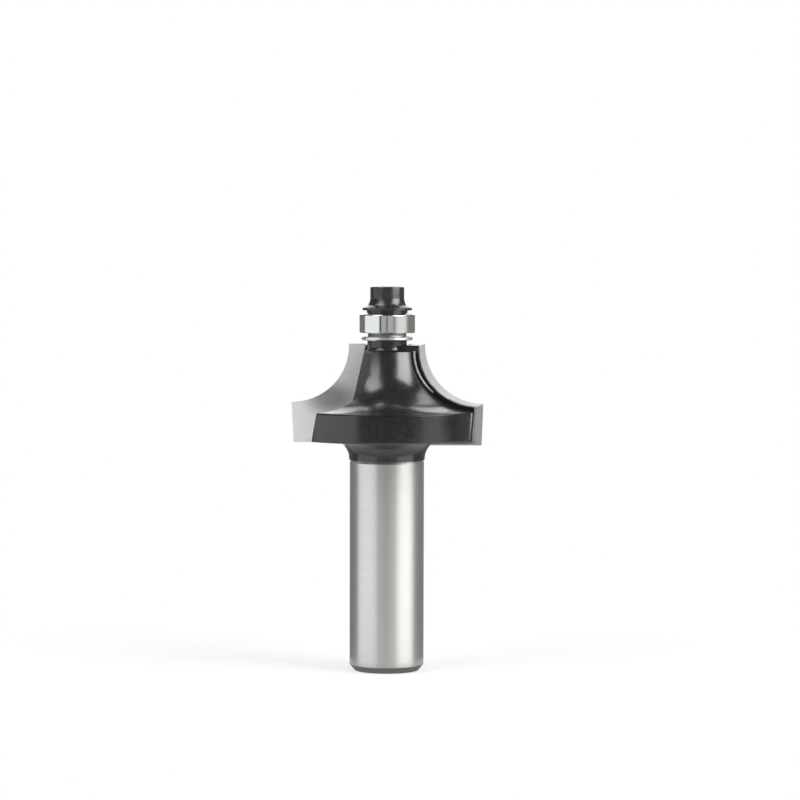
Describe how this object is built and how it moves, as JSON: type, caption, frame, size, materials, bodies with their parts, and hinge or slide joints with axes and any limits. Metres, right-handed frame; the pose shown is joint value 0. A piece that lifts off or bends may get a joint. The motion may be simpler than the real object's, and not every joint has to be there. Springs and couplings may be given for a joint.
{
  "type": "router bit",
  "caption": "Round-over router bit with brazed carbide tips, a straight shank and a guide bearing held by a cap screw.",
  "frame": {"origin": "centre of the shank's flat end", "axes": "+Z along the axis of rotation, from the shank towards the guide bearing; the first carbide tip lies on -X with its face towards -Y"},
  "size_m": [0.031, 0.0294, 0.0621],
  "materials": {
    "tool_steel": "black gloss coat on the head, fine ground shank",
    "carbide": "satin ground",
    "bright_washer": "bright turned",
    "bearing_steel": "polished",
    "cage_steel": "pressed",
    "shield_steel": "pressed, satin",
    "black_oxide": "black oxide, satin"
  },
  "bodies": {
    "tool": {"cutter_body": "tool_steel", "carbide_tip_1": "carbide", "carbide_tip_2": "carbide", "spacer_washer": "bright_washer", "bearing_inner_ring": "bearing_steel", "dust_washer": "black_oxide", "pilot_screw": "black_oxide"},
    "guide_ring": {"bearing_outer_ring": "bearing_steel", "lower_shield": "shield_steel", "upper_shield": "shield_steel"},
    "ball_set": {"bearing_balls": "bearing_steel", "ball_cage": "cage_steel"}
  },
  "joints": [
    {"name": "guide_ring_spin", "type": "hinge", "parent": "tool", "child": "guide_ring", "pos_m": [0, 0, 0.05613], "axis": [0, 0, 1], "continuous": true},
    {"name": "ball_set_roll", "type": "hinge", "parent": "tool", "child": "ball_set", "pos_m": [0, 0, 0.05613], "axis": [0, 0, 1], "continuous": true}
  ],
  "couplings": [
    {"joint": "ball_set_roll", "follows": "guide_ring_spin", "ratio": 0.57143}
  ]
}
